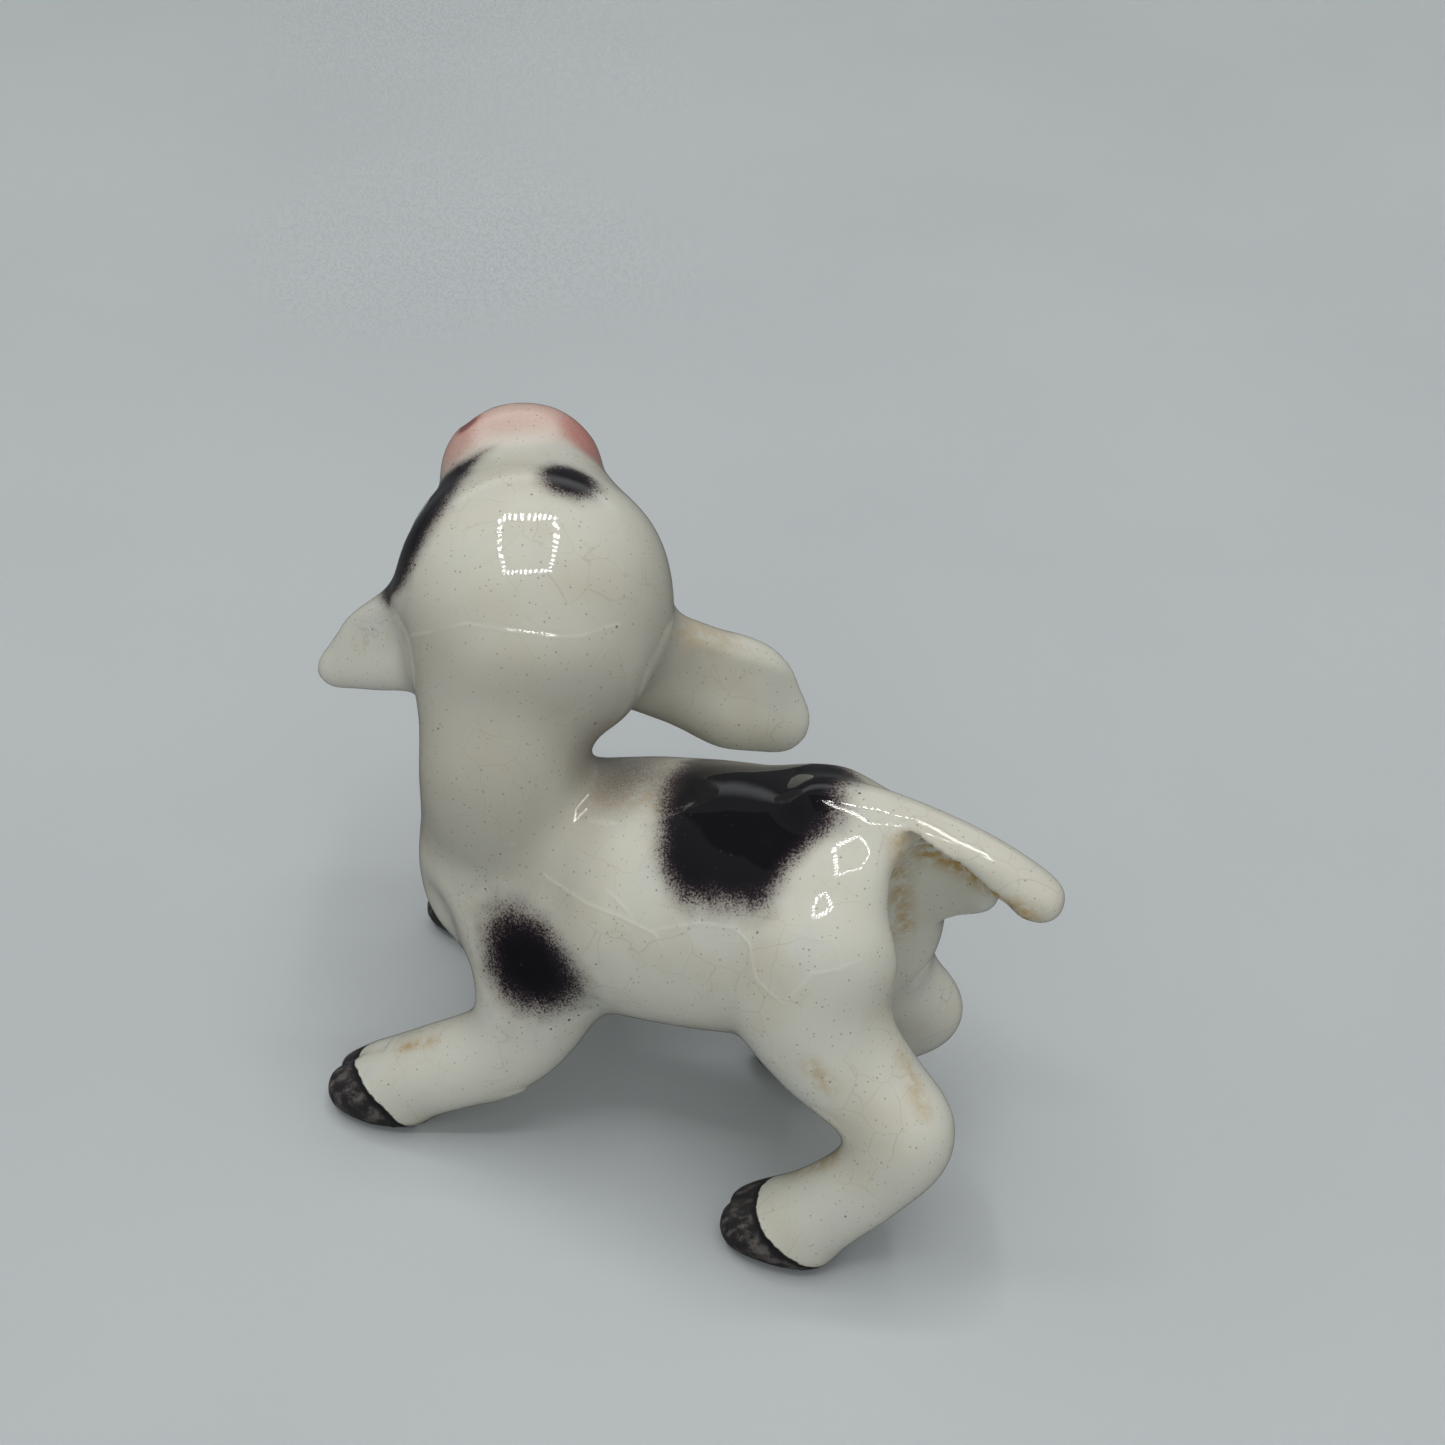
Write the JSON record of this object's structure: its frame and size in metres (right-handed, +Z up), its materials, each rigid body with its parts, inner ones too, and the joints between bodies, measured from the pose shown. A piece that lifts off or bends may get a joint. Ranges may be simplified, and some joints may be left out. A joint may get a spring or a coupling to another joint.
{
  "type": "calf figurine",
  "caption": "Small cast and glazed ceramic calf with its head turned to its right, braced legs and a stub tail; stands on flat soles as a shelf ornament.",
  "frame": {"origin": "floor level under the middle of the figurine's bounding box", "axes": "+Z up; the calf's trunk faces -X, its left side is towards -Y and its right side towards +Y"},
  "size_m": [0.0622, 0.0374, 0.0515],
  "materials": {
    "calf": "glossy"
  },
  "bodies": {
    "root": {"calf": "calf"}
  },
  "joints": []
}
